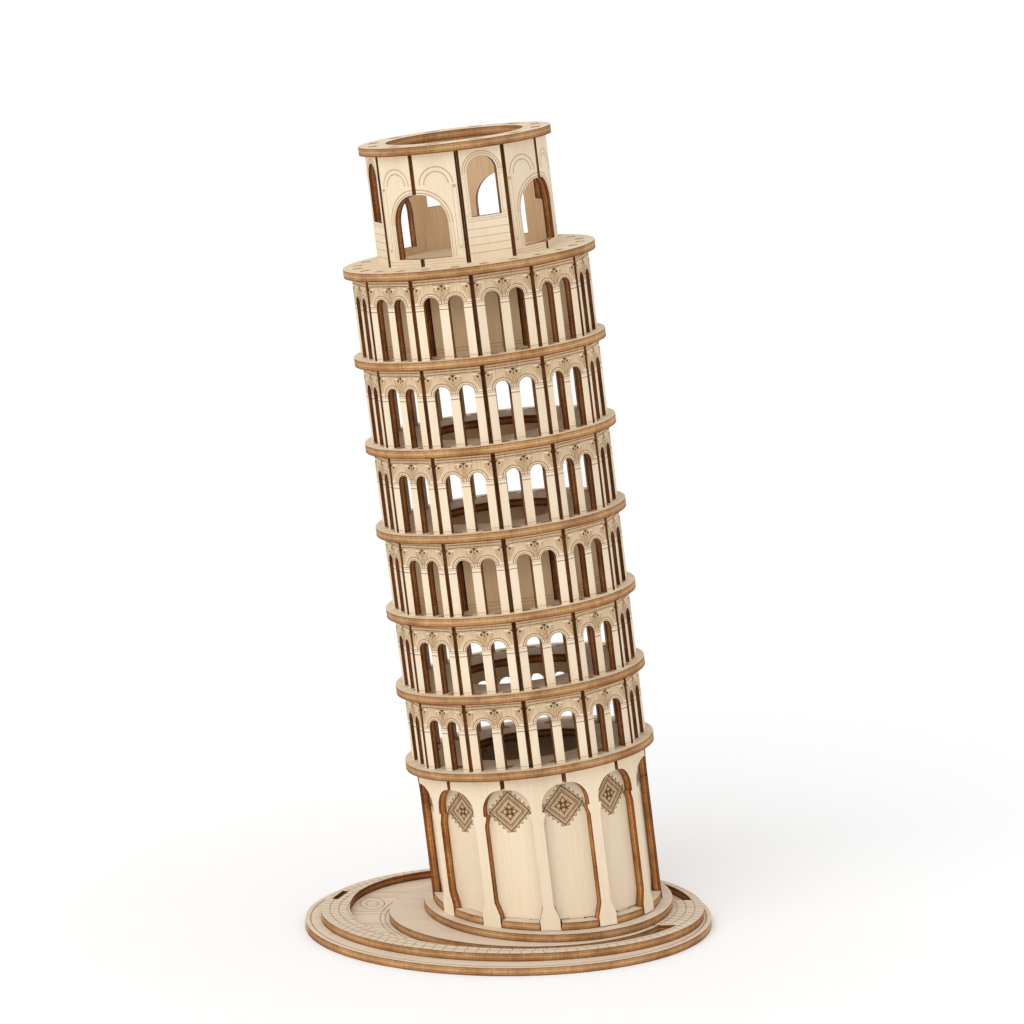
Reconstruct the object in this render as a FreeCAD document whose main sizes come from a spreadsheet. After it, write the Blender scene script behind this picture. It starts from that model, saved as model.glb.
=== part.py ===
"""Press-fit plywood model of a leaning round tower on an oval base.

Every piece is a flat cut from the same sheet: ring floors, arcaded wall
panels that slot into them, a taller ground storey with pilasters standing in
front of plain walls, a smaller belfry, and a stack of base plates.

Frame: millimetres, +Z up, the underside of the base at Z = 0 and its centre
at the origin.  The front is -Y.  An azimuth is measured from the front
towards +X.  The storeys are built about a leaning axis, the tower axis.
"""
import FreeCAD, Part
import math
import os
import Sketcher
from FreeCAD import Placement, Rotation, Vector

SIZES = {
    "plyThickness": (3, "sheet thickness"),
    "slotClearance": (0.08, "play on each side of a tab in its slot"),
    "footClearance": (0.25, "play around the feet in the foot ring"),
    "panelGap": (0.06, "gap between neighbouring panels at their inner corners"),
    "leanAngle": (7.9, "lean of the tower axis from the vertical, degrees"),
    "leanAzimuth": (-120, "direction of the lean, degrees"),
    "axisFootX": (15.7, "where the tower axis meets the table"),
    "axisFootY": (4.4, "where the tower axis meets the table"),
    "baseHalfLength": (75, "base plate, semi-axis along X"),
    "baseHalfDepth": (61, "base plate, semi-axis along Y"),
    "pavingHalfLength": (70.8, "paving plate, semi-axis along X"),
    "pavingHalfDepth": (54.5, "paving plate, semi-axis along Y"),
    "pavingShiftX": (1.5, "paving plate centre"),
    "pavingShiftY": (1, "paving plate centre"),
    "courtHalfLength": (63.7, "opening in the paving, semi-axis along X"),
    "courtHalfDepth": (50.5, "opening in the paving, semi-axis along Y"),
    "courtShiftX": (5, "opening centre"),
    "courtShiftY": (2.5, "opening centre"),
    "courtSquareness": (2.3, "superellipse power of the fuller left rear quarter"),
    "causewayLeft": (50, "inner end of the paved way into the court"),
    "causewayFront": (-21.5, "front edge of the paved way"),
    "causewayRear": (8.5, "rear edge of the paved way"),
    "lawnHalfLength": (52, "inner oval, semi-axis along X"),
    "lawnHalfDepth": (44, "inner oval, semi-axis along Y"),
    "lawnShiftX": (8, "inner oval centre"),
    "lawnShiftY": (-1.5, "inner oval centre"),
    "plinthRadius": (46, "round plinth under the tower"),
    "footRingRadius": (42, "notched ring that takes the feet"),
    "footRingHole": (26, "hole of the notched ring"),
    "ringRadius": (46, "floor ring of a storey"),
    "ringHole": (25, "hole of the floor rings and of the top ring"),
    "crownRadius": (35, "top ring over the belfry"),
    "panelFace": (42, "outer face of the storey panels, from the tower axis"),
    "wallFace": (37.8, "outer face of the ground storey walls"),
    "drumFace": (30, "outer face of the inner six-sided drums"),
    "belfryFace": (32, "outer face of the belfry panels"),
    "groundTop": (67, "top of the first ring, along the tower axis"),
    "riseTwo": (28.4, "ring top to ring top, storey two"),
    "riseThree": (28.8, "storey three"),
    "riseFour": (30.4, "storey four"),
    "riseFive": (31.1, "storey five"),
    "riseSix": (31.7, "storey six"),
    "riseSeven": (32.4, "storey seven"),
    "riseBelfry": (43.3, "belfry"),
    "columnHalf": (1.65, "half width of the middle column of a panel"),
    "archWidth": (5.75, "clear width of each arch of a storey panel"),
    "archDrop": (6.9, "top of a storey panel down to its arch crowns"),
    "tabInner": (4, "inner side of a panel's lower tab, from its middle"),
    "tabOuter": (7, "outer side of a panel's lower tab"),
    "topTabHalf": (3, "half width of a panel's upper tab"),
    "pilasterTabHalf": (2.4, "half width of a pilaster's upper tab"),
    "wallTabHalf": (2.7, "half width of a ground wall's tabs"),
    "drumTabHalf": (3.5, "half width of a drum panel's foot tab"),
    "headDepth": (4, "pilaster head beside the arch crown"),
    "archStilt": (1.5, "straight jamb between a pilaster's arch and its capital"),
    "shaftHalf": (2, "half width of a pilaster shaft"),
    "capitalHalf": (2.9, "half width of a pilaster capital"),
    "footHalf": (3.6, "half width of a pilaster foot"),
    "footHeight": (1.1, "height of a pilaster foot above the foot ring"),
    "flareHeight": (4.8, "height over which the shaft widens to its foot"),
    "capitalHeight": (3.5, "height of a pilaster capital, its taper included"),
    "abacusHeight": (0.9, "height of the straight top of a pilaster capital"),
    "windowHalf": (5.6, "half width of a belfry window"),
    "windowDrop": (2.8, "belfry panel top down to the window crown"),
    "windowHeight": (21.6, "belfry window, sill to crown"),
    "portalHalf": (10.5, "half width and head radius of a belfry portal"),
    "portalHeight": (23.2, "belfry portal, sill to crown"),
    "portalSill": (2.7, "strip under a belfry portal"),
    "belfryTabInner": (1.6, "inner side of a belfry panel's lower tab"),
    "belfryTabOuter": (4.6, "outer side of a belfry panel's lower tab"),
    "belfryTopTabHalf": (2.5, "half width of a belfry panel's upper tab"),
    "spareSlotLength": (10.5, "slot in the paving"),
    "spareSlotWidth": (2.4, "slot in the paving"),
    "spareSlotX": (-63.3, "one corner of that slot"),
    "spareSlotY": (12.2, "one corner of that slot"),
    "spareSlotAngle": (67.5, "turn of that slot, degrees"),
    "lawnPlay": (0.5, "gap between the inner oval and the paved way"),
}
PANELS = 12
DRUM_SIDES = 6
PANEL_STEP = 360 / PANELS
COURT_POINTS = 48
NOTCH_REACH = 10  # millimetres, well past the rim of the foot ring

doc = FreeCAD.newDocument("leaning_tower_puzzle")
sheet = doc.addObject("Spreadsheet::Sheet", "Sizes")
for row, (alias, (number, note)) in enumerate(SIZES.items(), start=1):
    sheet.set(f"A{row}", alias)
    sheet.set(f"B{row}", str(number))
    sheet.set(f"C{row}", note)
    sheet.setAlias(f"B{row}", alias)
doc.recompute()

parts = []


def size(alias):
    """A driving dimension as a plain number."""
    return float(sheet.get(alias))


def cell(text):
    """An expression on the sheet: @name stands for the cell called name."""
    return text.replace("@", "Sizes.")


def value(expression):
    """What an expression comes to, as a plain number."""
    result = sheet.evalExpression(expression)
    return float(getattr(result, "Value", result))


def tower_placement(azimuth, height):
    """Stand a piece on the tower axis, turned to an azimuth, at a height along the axis."""
    lean_azimuth = math.radians(size("leanAzimuth"))
    hinge = Vector(math.cos(lean_azimuth), math.sin(lean_azimuth), 0)
    lean = Rotation(hinge, size("leanAngle"))
    foot = Placement(Vector(size("axisFootX"), size("axisFootY"), 0), lean)
    return foot.multiply(Placement(Vector(0, 0, height), Rotation(Vector(0, 0, 1), azimuth)))


def keep(node, name, placement=None):
    """Register a finished sub-part under the name of its file."""
    node.Label = name
    if placement is not None:
        node.Placement = placement
    parts.append(node)
    return node


def new_body(name):
    body = doc.addObject("PartDesign::Body", name)
    body.AllowCompound = True
    return body


def new_sketch(body, name, role, azimuth=0.0, offset=None):
    """A sketch on one of the body's own origin planes, turned or lifted off it if asked."""
    plane = next(item for item in body.Origin.OriginFeatures if item.Role == role)
    sketch = body.newObject("Sketcher::SketchObject", name)
    sketch.AttachmentSupport = [(plane, "")]
    sketch.MapMode = "FlatFace"
    sketch.AttachmentOffset = Placement(Vector(0, 0, 0), Rotation(Vector(0, 0, 1), azimuth))
    if offset is not None:
        sketch.setExpression("AttachmentOffset.Base.z", cell(offset))
    return sketch


def pin(sketch, geometry, position, corner):
    """Fix one point of a sketch at a pair of expressions."""
    for kind, axis, text in (("DistanceX", -2, corner[0]), ("DistanceY", -1, corner[1])):
        if text == "0":
            sketch.addConstraint(Sketcher.Constraint("PointOnObject", geometry, position, axis))
            continue
        number = value(cell(text))
        index = sketch.addConstraint(Sketcher.Constraint(kind, -1, 1, geometry, position, number))
        sketch.setExpression(f"Constraints[{index}]", cell(text))


def arc_between(start, end, radius, turn):
    """The shorter arc from start to end, turning left for turn = 1 and right for turn = -1."""
    chord = end - start
    rise = math.sqrt(max(radius ** 2 - (chord.Length / 2) ** 2, 0))
    side = Vector(-chord.y, chord.x, 0).normalize() * turn
    centre = (start + end) * 0.5 + side * rise
    middle = centre - side * radius
    return Part.Arc(start, middle, end)


def draw(sketch, path):
    """Draw a closed outline.

    Each step of the path is (x, y) for a straight edge to that corner, or
    (x, y, radius, turn) for an arc to it, all sizes being expressions.
    """
    spots = [Vector(value(cell(step[0])), value(cell(step[1])), 0) for step in path]
    first = sketch.GeometryCount
    for index, step in enumerate(path):
        start, end = spots[index - 1], spots[index]
        if len(step) == 2:
            sketch.addGeometry(Part.LineSegment(start, end))
            continue
        edge = sketch.addGeometry(arc_between(start, end, value(cell(step[2])), step[3]))
        limit = Sketcher.Constraint("Radius", edge, value(cell(step[2])))
        sketch.setExpression(f"Constraints[{sketch.addConstraint(limit)}]", cell(step[2]))
    count = len(path)
    # An arc that turns right is stored the other way round, so its end is point 1.
    ends = [1 if len(step) == 4 and step[3] < 0 else 2 for step in path]
    for index in range(count):
        following = (index + 1) % count
        sketch.addConstraint(Sketcher.Constraint(
            "Coincident", first + index, ends[index], first + following, 3 - ends[following]))
        pin(sketch, first + index, ends[index], path[index])


def flipped(path):
    """The mirror image of a path, run backwards so that it still turns the same way."""
    image = []
    for index in range(len(path) - 1, -1, -1):
        step = path[index]
        arc = path[index + 1][2:] if index + 1 < len(path) else ()
        image.append((f"-({step[0]})", step[1], *arc))
    return image


def mirrored(right_half):
    """A symmetric outline from its right half, given from the bottom up."""
    return right_half + flipped(right_half)


def rectangle(left, right, low, high):
    return [(right, low), (right, high), (left, high), (left, low)]


def pad(body, sketch, length="@plyThickness"):
    feature = body.newObject("PartDesign::Pad", f"{sketch.Name}_pad")
    feature.Profile = sketch
    feature.setExpression("Length", cell(length))
    body.Tip = feature
    return feature


def polar(body, feature, count):
    """Repeat a feature evenly about the body's own Z axis."""
    pattern = body.newObject("PartDesign::PolarPattern", f"{feature.Name}_round")
    pattern.Originals = [feature]
    z_axis = next(item for item in body.Origin.OriginFeatures if item.Role == "Z_Axis")
    pattern.Axis = (z_axis, [""])
    pattern.Angle = 360
    pattern.Occurrences = count
    body.Tip = pattern
    return pattern


def cut_slots(body, name, face, azimuth, count, slots):
    """Cut slots for tabs right through a ring, one set for each panel around it."""
    before = body.Tip.Shape.Volume
    sketch = new_sketch(body, name, "XY_Plane", azimuth)
    near = f"-(@{face} + @slotClearance)"
    far = f"-(@{face} - @plyThickness - @slotClearance)"
    for left, right in slots:
        draw(sketch, rectangle(f"{left} - @slotClearance", f"{right} + @slotClearance", near, far))
    pocket = body.newObject("PartDesign::Pocket", f"{name}_pocket")
    pocket.Profile = sketch
    pocket.Type = "ThroughAll"
    pocket.Reversed = True
    body.Tip = pocket
    polar(body, pocket, count)
    doc.recompute()
    if body.Tip.Shape.Volume >= before:
        raise RuntimeError(f"{name} cut nothing")


LOWER_TAB = [("-@columnHalf", "@columnHalf")]
UPPER_TABS = [("@tabInner", "@tabOuter"), ("-@tabOuter", "-@tabInner")]
DRUM_TAB = [("-@drumTabHalf", "@drumTabHalf")]
PILASTER_TAB = [("-@pilasterTabHalf", "@pilasterTabHalf")]
WALL_TAB = [("-@wallTabHalf", "@wallTabHalf")]
BELFRY_LOWER_TABS = [("@belfryTabInner", "@belfryTabOuter"),
                     ("-@belfryTabOuter", "-@belfryTabInner")]
BELFRY_UPPER_TAB = [("-@belfryTopTabHalf", "@belfryTopTabHalf")]


def floor_plate(name, height, radii, slot_sets):
    """A round floor whose top lies at a height along the tower axis, a ring if it has two radii."""
    body = new_body(name)
    sketch = new_sketch(body, f"{name}_outline", "XY_Plane")
    for alias in radii:
        circle = sketch.addGeometry(Part.Circle(Vector(0, 0, 0), Vector(0, 0, 1), size(alias)))
        sketch.addConstraint(Sketcher.Constraint("Coincident", circle, 3, -1, 1))
        limit = sketch.addConstraint(Sketcher.Constraint("Radius", circle, size(alias)))
        sketch.setExpression(f"Constraints[{limit}]", cell("@" + alias))
    pad(body, sketch)
    doc.recompute()
    for index, (face, azimuth, count, slots) in enumerate(slot_sets):
        cut_slots(body, f"{name}_slots_{index}", face, azimuth, count, slots)
    return keep(body, name, tower_placement(0, height - size("plyThickness")))


def half_width(face, sides):
    """Half the width of one panel of a many-sided wall, measured at its inner face."""
    return f"((@{face} - @plyThickness) * tan({180 / sides} deg) - @panelGap / 2)"


def panel_ring(name, face, height, azimuth, count, outlines):
    """Panels standing in a circle, made from the outline of one of them."""
    body = new_body(name)
    sketch = new_sketch(body, f"{name}_outline", "XZ_Plane", 0, f"@{face} - @plyThickness")
    for outline in outlines:
        draw(sketch, outline)
    polar(body, pad(body, sketch), count)
    return keep(body, name, tower_placement(azimuth, height))


def storey_panels(name, height, rise):
    """Twelve comb-shaped panels: a solid head on two side columns and a middle one."""
    top = f"(@{rise} - @plyThickness)"
    half = half_width("panelFace", PANELS)
    radius = "(@archWidth / 2)"
    crown = f"({top} - @archDrop)"
    springing = f"({crown} - {radius})"
    right_half = [
        ("@columnHalf", "-@plyThickness"),
        ("@columnHalf", springing),
        (f"(@columnHalf + {radius})", crown, radius, -1),
        ("(@columnHalf + @archWidth)", springing, radius, -1),
        ("(@columnHalf + @archWidth)", "0"),
        (half, "0"),
        (half, top),
        ("@tabOuter", top),
        ("@tabOuter", f"{top} + @plyThickness"),
        ("@tabInner", f"{top} + @plyThickness"),
        ("@tabInner", top),
    ]
    return panel_ring(name, "panelFace", height, PANEL_STEP / 2, PANELS, [mirrored(right_half)])


def drum_panels(name, height, rise):
    """Six plain panels, tabbed at the foot only, that stand inside a storey."""
    half = half_width("drumFace", DRUM_SIDES)
    right_half = [
        ("@drumTabHalf", "-@plyThickness"),
        ("@drumTabHalf", "0"),
        (half, "0"),
        (half, f"(@{rise} - @plyThickness)"),
    ]
    return panel_ring(name, "drumFace", height, 0, DRUM_SIDES, [mirrored(right_half)])


BELFRY_TOP = "(@riseBelfry - @plyThickness)"


def belfry_foot(side):
    """The edge of a belfry panel along its foot tab, on the right for side = 1."""
    sign = "" if side > 0 else "-"
    steps = [
        (f"{sign}@belfryTabInner", "0"),
        (f"{sign}@belfryTabInner", "-@plyThickness"),
        (f"{sign}@belfryTabOuter", "-@plyThickness"),
        (f"{sign}@belfryTabOuter", "0"),
    ]
    return steps[::side]


def belfry_head():
    """The edge of a belfry panel along its head tab, from right to left."""
    return [
        ("@belfryTopTabHalf", BELFRY_TOP),
        ("@belfryTopTabHalf", f"{BELFRY_TOP} + @plyThickness"),
        ("-@belfryTopTabHalf", f"{BELFRY_TOP} + @plyThickness"),
        ("-@belfryTopTabHalf", BELFRY_TOP),
    ]


def belfry_windows(name, height):
    """Four belfry panels, each with an arched window."""
    half = half_width("belfryFace", PANELS)
    crown = f"({BELFRY_TOP} - @windowDrop)"
    sill = f"({crown} - @windowHeight)"
    springing = f"({crown} - @windowHalf)"
    edge = belfry_foot(1) + [(half, "0"), (half, BELFRY_TOP)] + belfry_head()
    edge += [(f"-{half}", BELFRY_TOP), (f"-{half}", "0")] + belfry_foot(-1)
    window = [
        ("@windowHalf", sill),
        ("@windowHalf", springing),
        ("0", crown, "@windowHalf", 1),
        ("-@windowHalf", springing, "@windowHalf", 1),
        ("-@windowHalf", sill),
    ]
    return panel_ring(name, "belfryFace", height, PANEL_STEP / 2, 4, [edge, window])


def belfry_portals(name, height, azimuth, side):
    """Four belfry panels, each with half a portal cut into one side edge."""
    half = half_width("belfryFace", PANELS)
    inner = f"({half} - @portalHalf)"
    crown = "(@portalSill + @portalHeight)"
    springing = f"({crown} - @portalHalf)"
    plain_side = [(f"-{half}", BELFRY_TOP), (f"-{half}", "0")]
    portal_side = [
        (half, "0"),
        (half, "@portalSill"),
        (inner, "@portalSill"),
        (inner, springing),
        (half, crown, "@portalHalf", -1),
        (half, BELFRY_TOP),
    ]
    edge = belfry_foot(1) + portal_side + belfry_head() + plain_side + belfry_foot(-1)
    if side < 0:
        edge = flipped(edge)
    return panel_ring(name, "belfryFace", height, azimuth, 4, [edge])


def level(height, azimuth, face, across):
    """Where a level plane crosses a ground panel, measured up from the first ring's underside.

    The plane lies at a height above the table, and the crossing is taken at a
    distance across the panel from its middle.  Of the panel's two faces, the
    one that reaches the plane first decides, so that nothing sinks below it.
    """
    turn = azimuth - size("leanAzimuth")
    depth = f"@{face}" if math.cos(math.radians(turn)) > 0 else f"(@{face} - @plyThickness)"
    fall = f"({depth} * cos({turn} deg) - ({across}) * sin({turn} deg))"
    along = f"({height} + sin(@leanAngle * 1 deg) * {fall}) / cos(@leanAngle * 1 deg)"
    return f"({along} - @groundTop + @plyThickness)"


PLINTH_TOP = "(3 * @plyThickness)"
FOOT_RING_TOP = "(4 * @plyThickness)"


def pilaster(name, azimuth):
    """A T-shaped pilaster: half arches spring from its shaft and its foot stands on the plinth."""
    half = half_width("panelFace", PANELS)
    radius = f"({half} - @shaftHalf)"
    springing = f"(-@headDepth - {radius})"
    ledge = f"({springing} - @archStilt)"
    foot_top = f"({level(FOOT_RING_TOP, azimuth, 'panelFace', '0')} + @footHeight)"
    right_half = [
        ("@footHalf", "0"),
        ("@footHalf", foot_top),
        ("@shaftHalf", f"{foot_top} + @flareHeight"),
        ("@shaftHalf", f"{ledge} - @capitalHeight"),
        ("@capitalHalf", f"{ledge} - @abacusHeight"),
        ("@capitalHalf", ledge),
        ("@shaftHalf", ledge),
        ("@shaftHalf", springing),
        (half, "-@headDepth", radius, -1),
        (half, "0"),
        ("@pilasterTabHalf", "0"),
        ("@pilasterTabHalf", "@plyThickness"),
    ]
    outline = mirrored(right_half)
    outline[0] = ("@footHalf", level(PLINTH_TOP, azimuth, "panelFace", "@footHalf"))
    outline[-1] = ("-@footHalf", level(PLINTH_TOP, azimuth, "panelFace", "-@footHalf"))
    underside = size("groundTop") - size("plyThickness")
    return ground_panel(name, "panelFace", azimuth, underside, outline)


def ground_wall(name, azimuth):
    """A plain wall behind the pilasters, with one tab into the foot ring."""
    half = half_width("wallFace", PANELS)
    outline = [("@wallTabHalf", level(PLINTH_TOP, azimuth, "wallFace", "@wallTabHalf"))]
    for across in ("@wallTabHalf", half):
        outline.append((across, level(FOOT_RING_TOP, azimuth, "wallFace", across)))
    outline += [
        (half, "0"),
        ("@wallTabHalf", "0"),
        ("@wallTabHalf", "@plyThickness"),
        ("-@wallTabHalf", "@plyThickness"),
        ("-@wallTabHalf", "0"),
        (f"-{half}", "0"),
    ]
    for across in (f"-{half}", "-@wallTabHalf"):
        outline.append((across, level(FOOT_RING_TOP, azimuth, "wallFace", across)))
    outline.append(("-@wallTabHalf", level(PLINTH_TOP, azimuth, "wallFace", "-@wallTabHalf")))
    underside = size("groundTop") - size("plyThickness")
    return ground_panel(name, "wallFace", azimuth, underside, outline)


def ground_panel(name, face, azimuth, height, outline):
    """One panel of the ground storey, hung from the first ring's underside."""
    body = new_body(name)
    sketch = new_sketch(body, f"{name}_outline", "XZ_Plane", 0, f"@{face} - @plyThickness")
    draw(sketch, outline)
    pad(body, sketch)
    return keep(body, name, tower_placement(azimuth, height))


def plate(name, curve):
    """A solid one sheet thick over a closed curve in the XY plane."""
    solid = doc.addObject("Part::Extrusion", name)
    solid.Base = curve
    solid.DirMode = "Custom"
    solid.Dir = Vector(0, 0, 1)
    solid.Solid = True
    solid.setExpression("LengthFwd", cell("@plyThickness"))
    return solid


def oval(name, prefix):
    """An elliptical plate from the two semi-axes kept under a common prefix."""
    curve = doc.addObject("Part::Ellipse", f"{name}_curve")
    curve.setExpression("MajorRadius", cell(f"@{prefix}HalfLength"))
    curve.setExpression("MinorRadius", cell(f"@{prefix}HalfDepth"))
    return plate(name, curve)


def block(name, length, width, placement, height="@plyThickness * 3"):
    """A cutting block of a given length, width and height."""
    box = doc.addObject("Part::Box", name)
    box.setExpression("Length", cell(length))
    box.setExpression("Width", cell(width))
    box.setExpression("Height", cell(height))
    box.Placement = placement
    return box


def cut(name, base, tool):
    result = doc.addObject("Part::Cut", name)
    result.Base = base
    result.Tool = tool
    return result


def shifted(x, y, z=0.0, angle=0.0):
    return Placement(Vector(x, y, z), Rotation(Vector(0, 0, 1), angle))


def causeway(name, margin):
    """The block that stands for the paved way, with a margin around it."""
    gap = value(cell(margin))
    thickness = size("plyThickness")
    corner = shifted(size("causewayLeft") - gap, size("causewayFront") - gap, -thickness)
    width = f"@causewayRear - @causewayFront + 2 * {margin}"
    return block(name, "@pavingHalfLength", width, corner)


def court_curve():
    """The outline of the court: an ellipse whose left rear quarter is fuller, as a superellipse."""
    points = []
    for index in range(COURT_POINTS):
        angle = 2 * math.pi * index / COURT_POINTS
        across, along = math.cos(angle), math.sin(angle)
        fuller = across < 0 < along
        power = 2 / size("courtSquareness") if fuller else 1
        right = size("courtHalfLength") * math.copysign(abs(across) ** power, across)
        back = size("courtHalfDepth") * math.copysign(abs(along) ** power, along)
        points.append(Vector(size("courtShiftX") + right, size("courtShiftY") + back, 0))
    spline = Part.BSplineCurve()
    spline.interpolate(Points=points, PeriodicFlag=True)
    curve = doc.addObject("Part::Feature", "court_curve")
    curve.Shape = Part.Wire([spline.toShape()])
    return curve


def base_plates():
    """The base plate, the paving with its court, the inner oval and the round plinth."""
    thickness = size("plyThickness")
    keep(oval("base_plate", "base"), "base_plate")

    sheet_oval = oval("paving_sheet", "paving")
    sheet_oval.Placement = shifted(size("pavingShiftX"), size("pavingShiftY"))
    court = plate("court", court_curve())
    open_court = cut("open_court", court, causeway("paved_way", "0"))
    framed = cut("paving_frame", sheet_oval, open_court)
    corner = shifted(size("spareSlotX"), size("spareSlotY"), -thickness, size("spareSlotAngle"))
    slot = block("spare_slot", "@spareSlotLength", "@spareSlotWidth", corner)
    keep(cut("paving_plate", framed, slot), "paving_plate", shifted(0, 0, thickness))

    lawn_sheet = oval("lawn_sheet", "lawn")
    lawn_sheet.Placement = shifted(size("lawnShiftX"), size("lawnShiftY"))
    lawn = cut("lawn_plate", lawn_sheet, causeway("paved_way_clearance", "@lawnPlay"))
    keep(lawn, "lawn_plate", shifted(0, 0, thickness))

    plinth = doc.addObject("Part::Cylinder", "plinth_disc")
    plinth.setExpression("Radius", cell("@plinthRadius"))
    plinth.setExpression("Height", cell("@plyThickness"))
    centre = axis_at(2.5 * thickness)
    keep(plinth, "plinth_disc", shifted(centre.x, centre.y, 2 * thickness))


def axis_at(height):
    """The point of the tower axis at a height above the table."""
    direction = tower_placement(0, 0).Rotation.multVec(Vector(0, 0, 1))
    foot = Vector(size("axisFootX"), size("axisFootY"), 0)
    return foot + direction * (height / direction.z)


def socket(name, face, half, azimuth, open_side):
    """A block as wide as a foot tab and its play, leaning with the tower."""
    play = size("footClearance")
    reach = size("plyThickness") + play + (NOTCH_REACH if open_side else play)
    inner = -size(face) + size("plyThickness") + play
    corner = Placement(Vector(-size(half) - play, inner - reach, 0), Rotation())
    placement = tower_placement(azimuth, 0).multiply(corner)
    return block(name, f"2 * (@{half} + @footClearance)", f"{reach}", placement,
                 "@plyThickness * 8")


def foot_ring():
    """The notched ring: open notches for the pilaster feet and slots for the wall tabs."""
    thickness = size("plyThickness")
    outer = doc.addObject("Part::Cylinder", "foot_ring_outer")
    outer.setExpression("Radius", cell("@footRingRadius"))
    outer.setExpression("Height", cell("@plyThickness"))
    hole = doc.addObject("Part::Cylinder", "foot_ring_hole")
    hole.setExpression("Radius", cell("@footRingHole"))
    hole.setExpression("Height", cell("@plyThickness"))
    centre = axis_at(3.5 * thickness)
    for disc in (outer, hole):
        disc.Placement = shifted(centre.x, centre.y, 3 * thickness)
    sockets = doc.addObject("Part::MultiFuse", "foot_sockets")
    blocks = [hole]
    for index in range(PANELS):
        azimuth = index * PANEL_STEP
        blocks.append(socket(f"notch_{index}", "panelFace", "footHalf", azimuth, True))
        blocks.append(socket(f"slot_{index}", "wallFace", "wallTabHalf",
                             azimuth + PANEL_STEP / 2, False))
    sockets.Shapes = blocks
    keep(cut("foot_ring", outer, sockets), "foot_ring")


def ground_storey():
    for index in range(PANELS):
        azimuth = index * PANEL_STEP
        pilaster(f"pilaster_{index + 1:02d}", azimuth)
        ground_wall(f"ground_wall_{index + 1:02d}", azimuth + PANEL_STEP / 2)


def storeys():
    """The ring floors with their panels, from the first ring up to the crown."""
    half_step = PANEL_STEP / 2
    rises = ["riseTwo", "riseThree", "riseFour", "riseFive", "riseSix", "riseSeven"]
    drum_storeys = (4, 7)
    height = size("groundTop")
    open_ring = ("ringRadius", "ringHole")
    floor_plate("ring_1", height, open_ring, [
        ("panelFace", half_step, PANELS, LOWER_TAB),
        ("panelFace", 0, PANELS, PILASTER_TAB),
        ("wallFace", half_step, PANELS, WALL_TAB),
    ])
    for storey, rise in enumerate(rises, start=2):
        storey_panels(f"storey_{storey}_panels", height, rise)
        if storey in drum_storeys:
            drum_panels(f"storey_{storey}_drum", height, rise)
        height += size(rise)
        if storey == 7:
            slot_sets = [("panelFace", half_step, PANELS, UPPER_TABS),
                         ("belfryFace", half_step, PANELS, BELFRY_LOWER_TABS)]
        else:
            slot_sets = [("panelFace", half_step, PANELS, UPPER_TABS + LOWER_TAB)]
        if storey + 1 in drum_storeys:
            slot_sets.append(("drumFace", 0, DRUM_SIDES, DRUM_TAB))
        if storey == 7:
            floor_plate("belfry_floor", height, ("ringRadius",), slot_sets)
        else:
            floor_plate(f"ring_{storey}", height, open_ring, slot_sets)
    belfry_windows("belfry_windows", height)
    belfry_portals("belfry_portals_left", height, 3 * half_step, 1)
    belfry_portals("belfry_portals_right", height, 5 * half_step, -1)
    floor_plate("crown_ring", height + size("riseBelfry"), ("crownRadius", "ringHole"),
                [("belfryFace", half_step, PANELS, BELFRY_UPPER_TAB)])


def check_and_export():
    """Stop if anything failed to build; otherwise write each sub-part to its own file."""
    doc.recompute()
    for item in doc.Objects:
        if "Invalid" in item.State or "Error" in item.State:
            raise RuntimeError(f"{item.Name} failed: {item.State}")
    os.makedirs("parts", exist_ok=True)
    for node in parts:
        if node.Shape.isNull() or not node.Shape.isValid():
            raise RuntimeError(f"{node.Label} has no valid shape")
    for node in parts:
        node.Shape.exportStep(f"parts/{node.Label}.step")


base_plates()
foot_ring()
ground_storey()
storeys()
check_and_export()
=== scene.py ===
"""Looks of a press-fit plywood model of a leaning round tower.

Every piece is a flat cut from one sheet, so every piece is built the same
way: its outline, its holes and what is engraved on its face are polygons in
millimetres, which are triangulated together and raised to one sheet's
thickness, with the engraving sunk into the face.  The pieces then stand where
the CAD's rings and plates say.
"""
import math
import random

import bpy
from mathutils import Matrix, Vector
from mathutils.geometry import delaunay_2d_cdt


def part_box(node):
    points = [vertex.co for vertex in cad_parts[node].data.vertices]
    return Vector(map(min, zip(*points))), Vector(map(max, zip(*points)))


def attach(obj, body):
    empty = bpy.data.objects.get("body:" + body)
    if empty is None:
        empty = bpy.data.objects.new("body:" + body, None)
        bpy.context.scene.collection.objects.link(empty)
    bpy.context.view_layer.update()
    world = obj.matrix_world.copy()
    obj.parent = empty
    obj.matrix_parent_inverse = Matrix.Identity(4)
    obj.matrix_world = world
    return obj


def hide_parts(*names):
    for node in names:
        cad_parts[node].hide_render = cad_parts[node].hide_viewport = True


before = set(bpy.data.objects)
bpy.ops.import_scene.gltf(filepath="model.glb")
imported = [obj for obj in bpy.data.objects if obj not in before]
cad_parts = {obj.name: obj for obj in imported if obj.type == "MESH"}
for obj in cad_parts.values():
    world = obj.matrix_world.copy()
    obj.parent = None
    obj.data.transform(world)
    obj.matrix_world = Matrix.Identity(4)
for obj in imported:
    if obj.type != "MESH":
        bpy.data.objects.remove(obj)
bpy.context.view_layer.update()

MM = 0.001
UP = Vector((0, 0, 1))
chance = random.Random(7)

# The design's sizes, in millimetres.
SLOT_PLAY = 0.08
FOOT_PLAY = 0.25
PANEL_GAP = 0.06
PANELS = 12
DRUM_SIDES = 6
STEP = 360 / PANELS
RING_RADIUS = 46
RING_HOLE = 25
CROWN_RADIUS = 35
PANEL_FACE = 42
WALL_FACE = 37.8
DRUM_FACE = 30
BELFRY_FACE = 32
COLUMN_HALF = 1.65
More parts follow.
